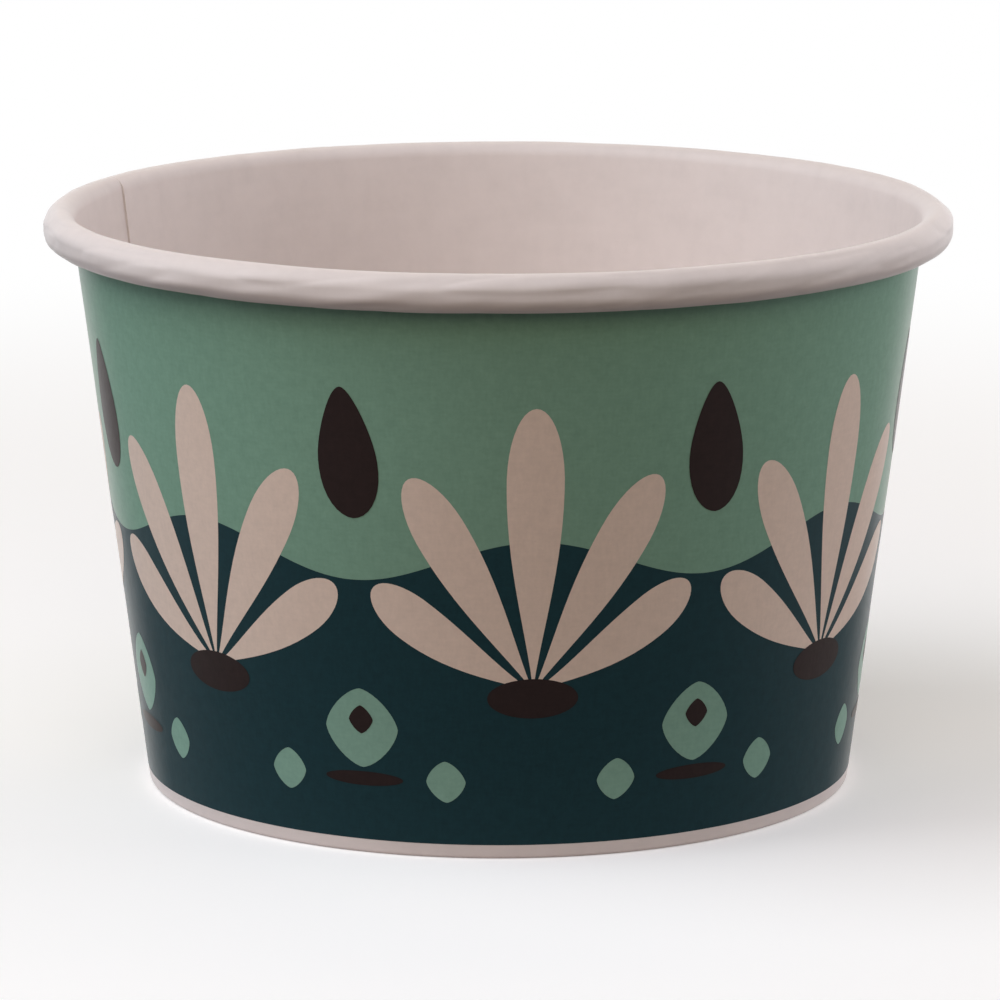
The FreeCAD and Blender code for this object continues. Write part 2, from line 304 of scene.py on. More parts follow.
@dataclass(frozen=True)
class Unevenness:
    """Slow waves that the board keeps from being rolled and handled.

    Depths are how far they stand out, waves how many go round, and widths how long they are
    along the board. The slant turns the dents and creases as the roll goes round.
    """

    wall_depth: float = 0.06 * MM
    wall_waves: float = 2.1
    wall_rise: float = 28 * MM
    foot_calm: float = 12 * MM
    lump_depth: float = 0.04 * MM
    lump_waves: float = 6.0
    lump_width: float = 9 * MM
    dent_depth: float = 0.20 * MM
    dent_waves: float = 6.2
    dent_width: float = 2.0 * MM
    crease_depth: float = 0.10 * MM
    crease_waves: float = 4.3
    crease_width: float = 2.6 * MM
    crease_start: float = 5.0
    crease_narrowing: float = 2.2
    crease_sharpness: int = 4
    slant: float = 60.0
    upper_press: float = 0.15 * MM
    lower_press: float = 0.11 * MM
    top_share: float = 0.25

    def of_wall(self, angle: float, height: float) -> float:
        """How far the wall stands out along its normal, at an angle and a height."""
        wave = ripple(angle, self.wall_waves, self.wall_waves * height / self.wall_rise)
        return smooth_step(height / self.foot_calm) * self.wall_depth * wave

    def pressed(self, facing: float) -> float:
        """How far the roll is flattened where it faces this far up from straight out."""
        depth = self.upper_press if facing > 0 else self.lower_press
        return -depth * math.sin(2 * facing) ** 2 * (abs(facing) < UP)

    def of_rim(self, angle: float, along: float, facing: float) -> float:
        """How far the rolled rim stands out at a place.

        Args:
            angle: Angle round the axis.
            along: Distance along the board from the start of the roll.
            facing: Which way the roll's face looks, from straight out towards straight up.

        Returns:
            The distance along the board's normal.
        """
        lump = ripple(angle, self.lump_waves, self.lump_waves * along / self.lump_width)
        slid = angle + along * self.slant
        dent = ripple(slid, self.dent_waves, along / self.dent_width)
        ridge = ripple(slid, self.crease_waves, self.crease_start + along / self.crease_width)
        crease = max(1 - abs(ridge * self.crease_narrowing), 0) ** self.crease_sharpness
        outside = self.top_share + (1 - self.top_share) * max(math.cos(facing), 0)
        handled = self.lump_depth * lump + self.dent_depth * dent - self.crease_depth * crease
        return outside * handled + self.pressed(facing)


@dataclass
class Blank:
    """The sidewall board, rolled into a cone: where every point of its two faces lies."""

    sizes: CupSizes
    uneven: Unevenness
    lap_columns: int = 18
    slope_columns: int = 14
    plain_columns: int = 600
    hair: float = 0.015 * MM
    edge_slack: float = 1e-6
    foot_press: float = 1.2 * MM

    @cached_property
    def columns(self) -> list[Column]:
        """The columns of one turn, from the overlap's free edge round to under it."""
        sizes = self.sizes

        def before_seam(height: float) -> float:
            """Just before the overlap's inner edge."""
            return sizes.seam_angle - self.hair / sizes.printed_radius(height)

        def at_seam(_: float) -> float:
            """The overlap's inner edge."""
            return sizes.seam_angle

        def under_lap(height: float) -> float:
            """Under the free edge, a whole turn on."""
            return sizes.lap_start(height) + TURN - self.hair / sizes.printed_radius(height)

        made = []
        for i in range(self.lap_columns + 1):
            made.append(Column(sizes.lap_start, before_seam, i / self.lap_columns, 1.0, 0.0))
        for i in range(self.slope_columns + 1):
            share = i / self.slope_columns
            down = 1 - smooth_step(share)
            made.append(Column(at_seam, sizes.slope_end, share, down, down))
        for i in range(1, self.plain_columns + 1):
            made.append(Column(sizes.slope_end, under_lap, i / self.plain_columns, 0.0, 0.0))
        return made

    def over_foot(self, height: float) -> float:
        """How much of the overlap's layers shows at a height, from none at the pressed foot."""
        return smooth_step(height / self.foot_press)

    def lift_at(self, angle: float, height: float) -> float:
        """How far the overlap lifts the printed face at an angle and height, in boards."""
        turned = (angle - self.sizes.lap_start(height) + self.edge_slack) % TURN
        lap = self.sizes.seam_angle - self.sizes.lap_start(height)
        slope = self.sizes.slope_end(height) - self.sizes.seam_angle
        if turned <= lap:
            return 1.0
        return 1 - smooth_step((turned - lap) / slope)

    def printed(self, angle: float, height: float, lift: float, ink: float) -> Vector:
        """A point on or over the wall's printed face.

        Args:
            angle: Angle round the axis.
            height: Height over the ground, measured on the plain wall.
            lift: How far the overlap lifts the face, in boards.
            ink: How far the point lies over the face.

        Returns:
            The point in the frame.
        """
        sizes = self.sizes
        out = lift * sizes.board + self.uneven.of_wall(angle, height) + ink
        radius = sizes.printed_radius(height) + out * math.cos(sizes.taper)
        return on_turn(radius, angle, height - out * math.sin(sizes.taper))


@dataclass
class Sheet:
    """A sheet of quads: rows of points that all have the same number of columns.

    Attributes:
        rows: The points, row by row.
        shares: Each row's place on the bake map, from 0 to 1.
        round_trip: Whether the last column joins the first.
        closed: Whether the last row joins the first.
        bands: Number of bands that the turn is cut into on the bake map.
        row_slots: The material slot of the faces after a row, 0 where none is given.
        column_slots: The material slot of the faces after a column, where one is given.
        turned_over: Whether the faces look against the way of the rows, as a lining does.
    """

    rows: list[list[Vector]]
    shares: list[float]
    round_trip: bool = True
    closed: bool = False
    bands: int = 2
    row_slots: dict[int, int] = field(default_factory=dict)
    column_slots: dict[int, int] = field(default_factory=dict)
    turned_over: bool = False

    margin = 0.004
    sharp_angle = math.radians(38)

    @property
    def face_columns(self) -> int:
        """How many faces lie side by side in a row."""
        return len(self.rows[0]) if self.round_trip else len(self.rows[0]) - 1

    def map_place(self, share: float, column: float, band: int) -> tuple[float, float]:
        """Where a corner lies on the bake map.

        Args:
            share: The corner's row place, from 0 to 1.
            column: The corner's column.
            band: The band that its face lies on.

        Returns:
            The place on the map.
        """
        along = column / self.face_columns * self.bands - band
        inside = 1 - 2 * self.margin
        up = (band + self.margin + inside * share) / self.bands
        return self.margin + inside * along, up

    def faces(self) -> Iterator[tuple[int, int, int, int]]:
        """The rows and columns of every quad, as first row, next row, first and next column."""
        high, wide = len(self.rows), len(self.rows[0])
        for row in range(high if self.closed else high - 1):
            for column in range(self.face_columns):
                yield row, (row + 1) % high, column, (column + 1) % wide

    def build(self, name: str, materials: Sequence[Material]) -> Object:
        """Make the object.

        Args:
            name: Name of the piece.
            materials: Its materials, in the order of their slots.

        Returns:
            The linked object.
        """
        width = len(self.rows[0])
        corners, places, slots = [], [], []
        for row, next_row, column, next_column in self.faces():
            band = min(int(column / self.face_columns * self.bands), self.bands - 1)
            low = self.shares[row]
            high = self.shares[next_row] if next_row else 1.0
            quad = [
                (row * width + column, low, column),
                (row * width + next_column, low, column + 1),
                (next_row * width + next_column, high, column + 1),
                (next_row * width + column, high, column),
            ]
            if self.turned_over:
                quad.reverse()
            corners.append([corner for corner, _, _ in quad])
            for _, share, place in quad:
                places.extend(self.map_place(share, place, band))
            slots.append(self.column_slots.get(column, self.row_slots.get(row, 0)))
        points = [point for row in self.rows for point in row]
        mesh = bpy.data.meshes.new(name)
        mesh.from_pydata(points, [], corners)
        mesh.uv_layers.new(name=BAKE_MAP).data.foreach_set("uv", places)
        mesh.polygons.foreach_set("material_index", slots)
        for material in materials:
            mesh.materials.append(material)
        mesh.shade_smooth()
        mesh.set_sharp_from_angle(angle=self.sharp_angle)
        return link(name, mesh)


def link(name: str, data: ID) -> Object:
    """Put a mesh, lamp or camera in the scene as an object of its own."""
    made = bpy.data.objects.new(name, data)
    bpy.context.scene.collection.objects.link(made)
    return made


def look_at(made: Object, target: Vector, away: Vector) -> Object:
    """Stand an object off its target and turn it to look there."""
    made.location = target + away
    made.rotation_euler = (-away).to_track_quat("-Z", "Y").to_euler()
    return made


def join_middle(mesh: Mesh, near: float = 0.001 * MM) -> None:
    """Make one point of those that fall together, as in the middle of a disc."""
    work = bmesh.new()
    work.from_mesh(mesh)
    bmesh.ops.remove_doubles(work, verts=work.verts, dist=near)
    work.to_mesh(mesh)
    work.free()


@dataclass
class ShaderBench:
    """A node tree with short ways to add, set and join its nodes."""

    tree: NodeTree

    @classmethod
    def fresh(cls, owner: Material | World) -> "ShaderBench":
        """Start on the emptied nodes of a material or world."""
        owner.use_nodes = True
        owner.node_tree.nodes.clear()
        return cls(owner.node_tree)

    def feed(self, target: NodeSocket, given: Given) -> None:
        """Join a socket to another one, or set it to a value."""
        if isinstance(given, NodeSocket):
            self.tree.links.new(given, target)
        else:
            target.default_value = given

    def add(
        self, kind: str, fed: Mapping[str | int, Given] | None = None, **settings: object
    ) -> Node:
        """Add a node.

        Args:
            kind: Blender's name for the node.
            fed: What goes into its sockets, by their names or numbers.
            **settings: Its properties, by name.

        Returns:
            The node.
        """
        made = self.tree.nodes.new(kind)
        for name, value in settings.items():
            setattr(made, name, value)
        for socket, given in (fed or {}).items():
            self.feed(made.inputs[socket], given)
        return made

    def maths(self, operation: str, first: Given, second: Given) -> NodeSocket:
        """Add a Math node on two sockets or numbers."""
        return self.add("ShaderNodeMath", {0: first, 1: second}, operation=operation).outputs[0]

    def weighed(self, *parts: tuple[NodeSocket, float]) -> NodeSocket:
        """Add up sockets, each times its weight."""
        total, *rest = [self.maths("MULTIPLY", part, weight) for part, weight in parts]
        for part in rest:
            total = self.maths("ADD", total, part)
        return total

    def between(self, value: Given, low: float, high: float) -> NodeSocket:
        """Add a smooth step of a value, from 0 at the low place to 1 at the high one."""
        fed = {"Value": value, "From Min": low, "From Max": high}
        made = self.add("ShaderNodeMapRange", fed, interpolation_type="SMOOTHSTEP")
        return made.outputs["Result"]

    def mix(self, share: Given, first: Given, second: Given) -> NodeSocket:
        """Add a mix of two shaders, with the first where the share is 0."""
        return self.add("ShaderNodeMixShader", {0: share, 1: first, 2: second}).outputs["Shader"]

    def straight_rays(self) -> NodeSocket:
        """Add a mask of the rays that see a thing rather than gather its light."""
        path = self.add("ShaderNodeLightPath").outputs
        seen = self.maths("MAXIMUM", path["Is Camera Ray"], path["Is Glossy Ray"])
        return self.maths("MAXIMUM", seen, path["Is Transmission Ray"])

    def noise(
        self, place: Given, scale: Given, detail: float, roughness: float = 0.5
    ) -> NodeSocket:
        """Add a noise pattern.

        Args:
            place: The socket of the coordinates.
            scale: Waves per metre.
            detail: Octaves of finer noise.
            roughness: Strength of the finer octaves.

        Returns:
            The socket of its value, from 0 to 1.
        """
        fed = {"Vector": place, "Scale": scale, "Detail": detail, "Roughness": roughness}
        return self.add("ShaderNodeTexNoise", fed, noise_dimensions="3D").outputs["Fac"]


@dataclass(frozen=True)
class PaperGrain:
    """The board's grain: matted fibres, and the cloudy look of pressed pulp.

    The felt's scale is given against the fibres', those of the specks and streaks against the
    clouds'. A squeeze is the scale along a fibre or streak, against that across it. The fibres
    and the felt share the relief, and the others share the colour.
    """

    fibre_squeeze: float = 0.35
    felt_scale: float = 0.23
    speck_scale: float = 3.1
    streak_scale: float = 2.9
    streak_squeeze: float = 0.24
    fibre_weight: float = 0.6
    felt_weight: float = 0.4
    cloud_weight: float = 0.45
    speck_weight: float = 0.2
    streak_weight: float = 0.175

    def build(self) -> NodeTree:
        """Build the shared group, with the height of the fibres and the strength of the clouds."""
        tree = bpy.data.node_groups.new("paper_grain", "ShaderNodeTree")
        sockets = {"INPUT": ("Fibre Scale", "Cloud Scale"), "OUTPUT": ("Height", "Clouds")}
        for side, names in sockets.items():
            for name in names:
                tree.interface.new_socket(name, in_out=side, socket_type="NodeSocketFloat")
        bench = ShaderBench(tree)
        given = bench.add("NodeGroupInput").outputs
        place = bench.add("ShaderNodeTexCoord").outputs["Object"]

        # Fibres lie along the wall's height more than across it
        fed = {"Vector": place, "Scale": (1.0, 1.0, self.fibre_squeeze)}
        squeezed = bench.add("ShaderNodeMapping", fed).outputs["Vector"]
        fibres = bench.noise(squeezed, given["Fibre Scale"], detail=3.0, roughness=0.6)
        scale = bench.maths("MULTIPLY", given["Fibre Scale"], self.felt_scale)
        felt = bench.noise(place, scale, detail=2.0)
        height = bench.weighed((fibres, self.fibre_weight), (felt, self.felt_weight))

        clouds = bench.noise(place, given["Cloud Scale"], detail=4.0, roughness=0.62)
        scale = bench.maths("MULTIPLY", given["Cloud Scale"], self.speck_scale)
        specks = bench.noise(place, scale, detail=2.0, roughness=0.7)
        colour = [(clouds, self.cloud_weight), (specks, self.speck_weight)]

        # The felt of the paper machine leaves short streaks round the wall and up it
        fed = {"Vector": place, "Angle": WEAVE_BREAK}
        turned = bench.add("ShaderNodeVectorRotate", fed, rotation_type="Z_AXIS").outputs["Vector"]
        parts = bench.add("ShaderNodeSeparateXYZ", {"Vector": turned}).outputs
        arc = bench.maths("ARCTAN2", parts["Y"], parts["X"])
        arc = bench.maths("MULTIPLY", arc, WEAVE_RADIUS)
        scale = bench.maths("MULTIPLY", given["Cloud Scale"], self.streak_scale)
        for across, up in ((self.streak_squeeze, 1.0), (1.0, self.streak_squeeze)):
            fed = {
                "X": bench.maths("MULTIPLY", arc, across),
                "Y": bench.maths("MULTIPLY", parts["Z"], up),
            }
            flat = bench.add("ShaderNodeCombineXYZ", fed).outputs["Vector"]
            colour.append((bench.noise(flat, scale, detail=1.0), self.streak_weight))
        bench.add("NodeGroupOutput", {"Height": height, "Clouds": bench.weighed(*colour)})
        return tree


def shaded(colour: Colour, amount: float) -> tuple[float, ...]:
    """A solid colour, made lighter or darker by a share."""
    return (*(min(part * (1 + amount), 1.0) for part in colour), 1.0)


@dataclass(frozen=True)
class PaperFinish:
    """A surface of the board: bare, coated, raw at a cut edge, or printed.

    Attributes:
        name: Name of the material.
        colour: Its middle colour.
        lighter: How much lighter it is where the pulp or ink is thin.
        darker: How much darker it is where it is dense.
        roughness: Roughness of the smoothest places.
        rough_spread: How much rougher the grain makes the rest.
        fibre_scale: Fibres per metre.
        cloud_scale: Clouds per metre.
        bump: Height of the fibres.
        sheen: Soft light from loose fibres at a glancing angle.
        sheen_roughness: How wide that light spreads.
        specular: Strength of the surface's own shine.
        glaze: Shine of the coating where it is looked at from the side.
        glaze_roughness: How matt that shine is.
        dense_at: Strength of the clouds below which the pulp or ink is dense.
        thin_at: Strength of the clouds over which it is thin.
    """

    name: str
    colour: Colour
    lighter: float
    darker: float
    roughness: float
    rough_spread: float = 0.2
    fibre_scale: float = 2600.0
    cloud_scale: float = 210.0
    bump: float = 0.008 * MM
    sheen: float = 0.0
    sheen_roughness: float = 0.25
    specular: float = 0.25
    glaze: float = 0.4
    glaze_roughness: float = 0.26
    dense_at: float = 0.34
    thin_at: float = 0.66

    def build(self, grain: NodeTree) -> Material:
        """Make the material.

        Args:
            grain: The shared grain group.

        Returns:
            The material.
        """
        made = bpy.data.materials.new(self.name)
        bench = ShaderBench.fresh(made)
        scales = {"Fibre Scale": self.fibre_scale, "Cloud Scale": self.cloud_scale}
        pattern = bench.add("ShaderNodeGroup", scales, node_tree=grain).outputs
        ramp = bench.add("ShaderNodeValToRGB", {"Fac": pattern["Clouds"]})
        steps = ramp.color_ramp.elements
        steps[0].position, steps[0].color = self.dense_at, shaded(self.colour, -self.darker)
        steps[1].position, steps[1].color = self.thin_at, shaded(self.colour, self.lighter)
        steps.new(0.5).color = shaded(self.colour, 0.0)

        spread = bench.maths("MULTIPLY", pattern["Height"], self.rough_spread)
        relief = {"Strength": 1.0, "Distance": self.bump, "Height": pattern["Height"]}
        facing = bench.add("ShaderNodeLayerWeight").outputs["Facing"]
        glancing = bench.between(facing, *GLAZE_ANGLES)
        fed = {
            "Base Color": ramp.outputs["Color"],
            "Roughness": bench.maths("ADD", spread, self.roughness),
            "Normal": bench.add("ShaderNodeBump", relief).outputs["Normal"],
            "Specular IOR Level": self.specular,
            "Sheen Weight": self.sheen,
            "Sheen Roughness": self.sheen_roughness,
            "Coat Roughness": self.glaze_roughness,
            "Coat Weight": bench.maths("MULTIPLY", glancing, self.glaze),
        }
        shader = bench.add("ShaderNodeBsdfPrincipled", fed).outputs["BSDF"]
        bench.add("ShaderNodeOutputMaterial", {"Surface": shader})
        return made


BARE_BOARD = linear(229, 219, 216)
RAW_EDGE = linear(221, 210, 206)
UPPER_GREEN = linear(129, 167, 147)
LOWER_TEAL = linear(22, 50, 56)
CREAM = linear(235, 214, 200)
MINT = linear(134, 172, 156)
SEED_BROWN = linear(36, 25, 24)


def board_finish(name: str, colour: Colour, roughness: float) -> PaperFinish:
    """A bare or coated face of the board."""
    return PaperFinish(name, colour, lighter=0.035, darker=0.045, roughness=roughness)


def ink_finish(name: str, colour: Colour, mottle: float, sheen: float = 0.04) -> PaperFinish:
    """A printed face of the board, whose ink lies as unevenly as its mottle says."""
    return PaperFinish(
        name,
        colour,
        lighter=mottle,
        darker=mottle,
        roughness=0.46,
        rough_spread=0.22,
        cloud_scale=950.0,
        bump=0.012 * MM,
        sheen=sheen,
        specular=0.1,
        glaze=0.68,
    )


@dataclass
class Sidewall:
    """The rolled sidewall: hem, fold, wall with its overlap, and rolled rim.

    Attributes:
        hidden_step: Every how many places the printed face inside the roll has a row.
        step_fades: Length over which the overlap's step fades in the roll.
        step_in_roll: Share of the step that is left there.
        sealed_step: Share of a board by which the overlap's inner edge stands out.
        roll_blend: Length over which the wall's waves turn into the roll's dents.
        map_white: Share of the bake map that the white face takes.
        map_printed: Where on the map the printed face starts, and the share that it takes.
    """

    blank: Blank
    stations: list[Station]
    hidden_step: int = 4
    step_fades: float = 1.6 * MM
    step_in_roll: float = 0.08
    sealed_step: float = 0.62
    roll_blend: float = 1.5 * MM
    map_white: float = 0.78
    map_printed: tuple[float, float] = (0.8, 0.19)

    @cached_property
    def roll_start(self) -> float:
        """Distance along the board at which the rim's roll starts."""
        return max(station.along for station in self.stations if station.zone is Zone.WALL)

    def fade(self, station: Station) -> float:
        """How much of the overlap's layers shows at a station.

        Args:
            station: Place in half-section.

        Returns:
            1 for the whole step, 0 where it is pressed flat, as at the foot and in the roll.
        """
        if station.zone is Zone.WALL:
            return self.blank.over_foot(station.height)
        if station.zone is Zone.RIM:
            rolled = smooth_step((station.along - self.roll_start) / self.step_fades)
            return 1 - (1 - self.step_in_roll) * rolled
        return 0.0

    def white_point(self, station: Station, column: Column) -> Vector:
        """A point on the board's white face.

        Args:
            station: Place in half-section.
            column: Place round the turn.

        Returns:
            The point in the frame.
        """
        angle = column.angle(max(station.height, 0.0))
        sunk = column.sink * self.sealed_step * self.blank.sizes.board * self.fade(station)
        uneven = self.blank.uneven
        if station.zone is Zone.RIM:
            along = station.along - self.roll_start
            blend = smooth_step(along / self.roll_blend)
            wall = uneven.of_wall(angle, station.height) * (1 - blend)
            sunk += wall - blend * uneven.of_rim(angle, along, station.heading + UP)
        elif station.zone is Zone.WALL:
            sunk += uneven.of_wall(angle, station.height)
        return station.off(angle, sunk)

    def printed_point(self, station: Station, column: Column) -> Vector:
        """A point on the board's printed face."""
        board = self.blank.sizes.board
        angle = column.angle(max(station.height, 0.0))
        out = board * (1 + column.lift * self.fade(station))
        if station.zone is Zone.HEM:
            out = board * (1 + (column.lift > 0 and column.sink == 0))
        if station.zone is Zone.RIM:
            out = board
        elif station.zone is Zone.WALL:
            out += self.blank.uneven.of_wall(angle, station.height)
        return station.off(angle, out)

    def build(self, bare: Material, raw: Material) -> Object:
        """Make the piece.

        Args:
            bare: Finish of the board's faces.
            raw: Finish of its cut edges.

        Returns:
            The piece, which stands for the frame's sidewall.
        """
        columns = self.blank.columns
        whole = self.stations[-1].along
        rows = [[self.white_point(s, c) for c in columns] for s in self.stations]
        shares = [self.map_white * s.along / whole for s in self.stations]
        raw_after = {len(rows) - 1: 1}
        start, taken = self.map_printed
        for i, station in reversed(list(enumerate(self.stations))):
            hidden = station.zone is Zone.RIM and i % self.hidden_step > 0
            if i == len(self.stations) - 1 or not hidden:
                rows.append([self.printed_point(station, c) for c in columns])
                shares.append(start + taken * (1 - station.along / whole))
        raw_after[len(rows) - 1] = 1
        raw_columns = {self.blank.lap_columns: 1, len(columns) - 1: 1}
        sheet = Sheet(
            rows, shares, closed=True, row_slots=raw_after, column_slots=raw_columns, turned_over=True
        )
        made = sheet.build("sidewall_board", (bare, raw))
        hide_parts("sidewall")
        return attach(made, "root")


@dataclass
class BaseDisc:
    """The punched base disc: a level floor with its skirt turned down inside the foot.

    Its middle hangs a little, and small puckers run round the bend.
    """

    sizes: CupSizes
    columns: int = 360
    floor_steps: int = 14
    bend_steps: int = 8
    skirt_steps: int = 4
    pucker_count: int = 120
    pucker_depth: float = 0.035 * MM
    pucker_start: float = 30 * MM
    pucker_reach: float = 5 * MM
    bow: float = 0.12 * MM
    bow_radius: float = 34 * MM
    map_share: float = 0.99

    def section(self) -> list[tuple[float, float, float, float]]:
        """The upper face in half-section.

        Returns:
            Radius, height, and the outward normal's radius and height parts, per place.
        """
        sizes = self.sizes
        taper, level = sizes.taper, sizes.floor_height
        bend = sizes.floor_bend + sizes.base_board
        reach = sizes.white_radius(level) - sizes.bond_gap / math.cos(taper)
        flat = reach - bend * math.tan((UP + taper) / 2)
        places = [(flat * i / self.floor_steps, level, 0.0, 1.0) for i in range(self.floor_steps + 1)]
        for i in range(1, self.bend_steps + 1):
            angle = UP - (UP + taper) * i / self.bend_steps
            side = (math.cos(angle), math.sin(angle))
            places.append((flat + bend * side[0], level - bend + bend * side[1], *side))
        radius, height, *side = places[-1]
        for i in range(1, self.skirt_steps + 1):
            down = (height - sizes.skirt_end) * i / self.skirt_steps
            places.append((radius - down * math.tan(taper), height - down, *side))
        return places

    def point(self, place: tuple[float, float, float, float], angle: float, depth: float) -> Vector:
        """A point of the disc.

        Args:
            place: Place in half-section.
            angle: Angle round the axis.
            depth: How far the point lies under the upper face.

        Returns:
            The point in the frame.
        """
        radius, height, side, rise = place
        edge = smooth_step((radius - self.pucker_start) / self.pucker_reach) * rise
        pucker = self.pucker_depth * edge * math.sin(angle * self.pucker_count)
        bow = -self.bow * (1 - smooth_step(radius / self.bow_radius)) * (side == 0)
        off = pucker + bow - depth
        return on_turn(radius + off * side, angle, height + off * rise)

    def build(self, bare: Material, raw: Material) -> Object:
        """Make the piece.

        Args:
            bare: Finish of the board's faces.
            raw: Finish of its cut edge.

        Returns:
            The piece, which stands for the frame's base disc.
        """
        places = self.section()
        angles = [TURN * i / self.columns for i in range(self.columns)]
        rows = []
        for depth, faced in ((0.0, places), (self.sizes.base_board, places[::-1])):
            rows += [[self.point(place, angle, depth) for angle in angles] for place in faced]
        shares = [i / (len(rows) - 1) * self.map_share for i in range(len(rows))]
        sheet = Sheet(rows, shares, row_slots={len(places) - 1: 1}, turned_over=True)
        made = sheet.build("base_disc_board", (bare, raw))
        join_middle(made.data)
        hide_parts("base_disc")
        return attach(made, "root")


@dataclass(frozen=True)
class PrintPlan:
    """The print's layout on the rolled blank: a regular repeat of leaves, seeds and lozenges."""

    lower_edge: float = 1.5 * MM
    upper_edge: float = 58.9 * MM
    wave_height: float = 31.5 * MM
    wave_rise: float = 2.2 * MM
    repeats: int = 7
    first_fan: float = math.radians(-85.0)
    slip: float = 0.35 * MM

    @property
    def pitch(self) -> float:
        """Angle from one fan to the next."""
        return TURN / self.repeats

    def wave(self, angle: float) -> float:
        """Height at which the two fields meet, at an angle on the plain turn."""
        return self.wave_height + self.wave_rise * math.cos(self.repeats * (angle - self.first_fan))


@dataclass
class PrintField:
    """One field of colour that goes all the way round the wall."""

    blank: Blank
    plan: PrintPlan
    name: str
    upper: bool
    rows: int = 14
    bands: int = 4
    ink: float = 0.02 * MM

    def border(self, column: Column, turned: float) -> float:
        """Height of the wavy border on a column, with the print's slip spread over the turn."""
        angle = column.angle(self.plan.wave_height)
        return self.plan.wave(angle) + self.plan.slip * (turned - 0.5)

    def build(self, finish: Material) -> Object:
        """Make the piece.

        Args:
            finish: The field's ink.

        Returns:
            The piece.
        """
        blank, plan = self.blank, self.plan
        rows = []
        for step in range(self.rows + 1):
            share = step / self.rows
            row = []
            for i, column in enumerate(blank.columns):
                border = self.border(column, i / (len(blank.columns) - 1))
                low, high = (border, plan.upper_edge) if self.upper else (plan.lower_edge, border)
                height = low + share * (high - low)
                lift = column.lift * blank.over_foot(height)
                row.append(blank.printed(column.angle(height), height, lift, self.ink))
            rows.append(row)
        shares = [i / self.rows for i in range(self.rows + 1)]
        sheet = Sheet(rows, shares, round_trip=False, bands=self.bands)
        made = sheet.build(self.name, (finish,))
        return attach(made, "root")


@dataclass(frozen=True)
class Petal:
    """A petal that widens from its foot to a round tip and bends to one side.

    Attributes:
        foot: Place of its foot, across and up.
        length: Length along its middle.
        width: Greatest width.
        lean: First direction, from straight up towards the right.
        bend: How far the direction turns over the whole length.
        widest: Share of the length at which it is widest.
        swell: How slowly it widens from its foot.
    """

    foot: tuple[float, float]
    length: float
    width: float
    lean: float = 0.0
    bend: float = 0.0
    widest: float = 0.74
    swell: float = 1.25

    def half_width(self, share: float) -> float:
        """Half the petal's width at a share of its length."""
        if share < self.widest:
            return self.width / 2 * math.sin(UP * share / self.widest) ** self.swell
        tip = (share - self.widest) / (1 - self.widest)
        return self.width / 2 * math.sqrt(max(1 - tip**2, 0))

    def outline(self, steps: int = 22) -> Outline:
        """The petal's outline, counter-clockwise.

        Args:
            steps: Number of steps along the middle, closer together towards the tip.

        Returns:
            The outline's corners.
        """
        left, right = [], []
        x, y = self.foot
        walked = 0.0
        for i in range(steps + 1):
            share = math.sin(UP * i / steps)
            middle = self.lean + self.bend * (share + walked) / 2
            x += self.length * (share - walked) * math.sin(middle)
            y += self.length * (share - walked) * math.cos(middle)
            walked = share
            heading = self.lean + self.bend * share
            half = self.half_width(share)
            right.append((x + half * math.cos(heading), y - half * math.sin(heading)))
            left.append((x - half * math.cos(heading), y + half * math.sin(heading)))
        return right + left[-2:0:-1]


@dataclass(frozen=True)
class Round:
    """A round shape: a circle, an egg or a lozenge with full sides.

    Attributes:
        middle: Place of its middle, across and up.
        half_width: Half its width.
        half_height: Half its height.
        fullness: 2 for an ellipse, less for a lozenge.
        narrowing: How much narrower it gets towards the top.
    """

    middle: tuple[float, float]
    half_width: float
    half_height: float
    fullness: float = 2.0
    narrowing: float = 0.0

    def outline(self, steps: int = 40) -> Outline:
        """The shape's outline, counter-clockwise.

        Args:
            steps: Number of corners.

        Returns:
            The outline's corners.
        """
        corners = []
        for i in range(steps):
            angle = TURN * i / steps
            across = math.copysign(abs(math.cos(angle)) ** (2 / self.fullness), math.cos(angle))
            up = math.copysign(abs(math.sin(angle)) ** (2 / self.fullness), math.sin(angle))
            width = self.half_width * (1 - self.narrowing * up)
            corners.append((self.middle[0] + width * across, self.middle[1] + self.half_height * up))
        return corners


def cut_at_line(outline: Outline, line: Callable[[float], float], side: int) -> Outline:
    """Keep the part of an outline that lies on one side of a straight line.

    Args:
        outline: The outline.
        line: The line's place across, at a height.
        side: 1 to keep what is right of the line, -1 for what is left of it.

    Returns:
        The part's outline, or nothing.
    """
    kept = []
    for (x, y), (last_x, last_y) in zip(outline, outline[-1:] + outline[:-1]):
        beyond = side * (x - line(y))
        last_beyond = side * (last_x - line(last_y))
        if (beyond > 0) != (last_beyond > 0):
            share = last_beyond / (last_beyond - beyond)
            kept.append((last_x + share * (x - last_x), last_y + share * (y - last_y)))
        if beyond > 0:
            kept.append((x, y))
    return kept


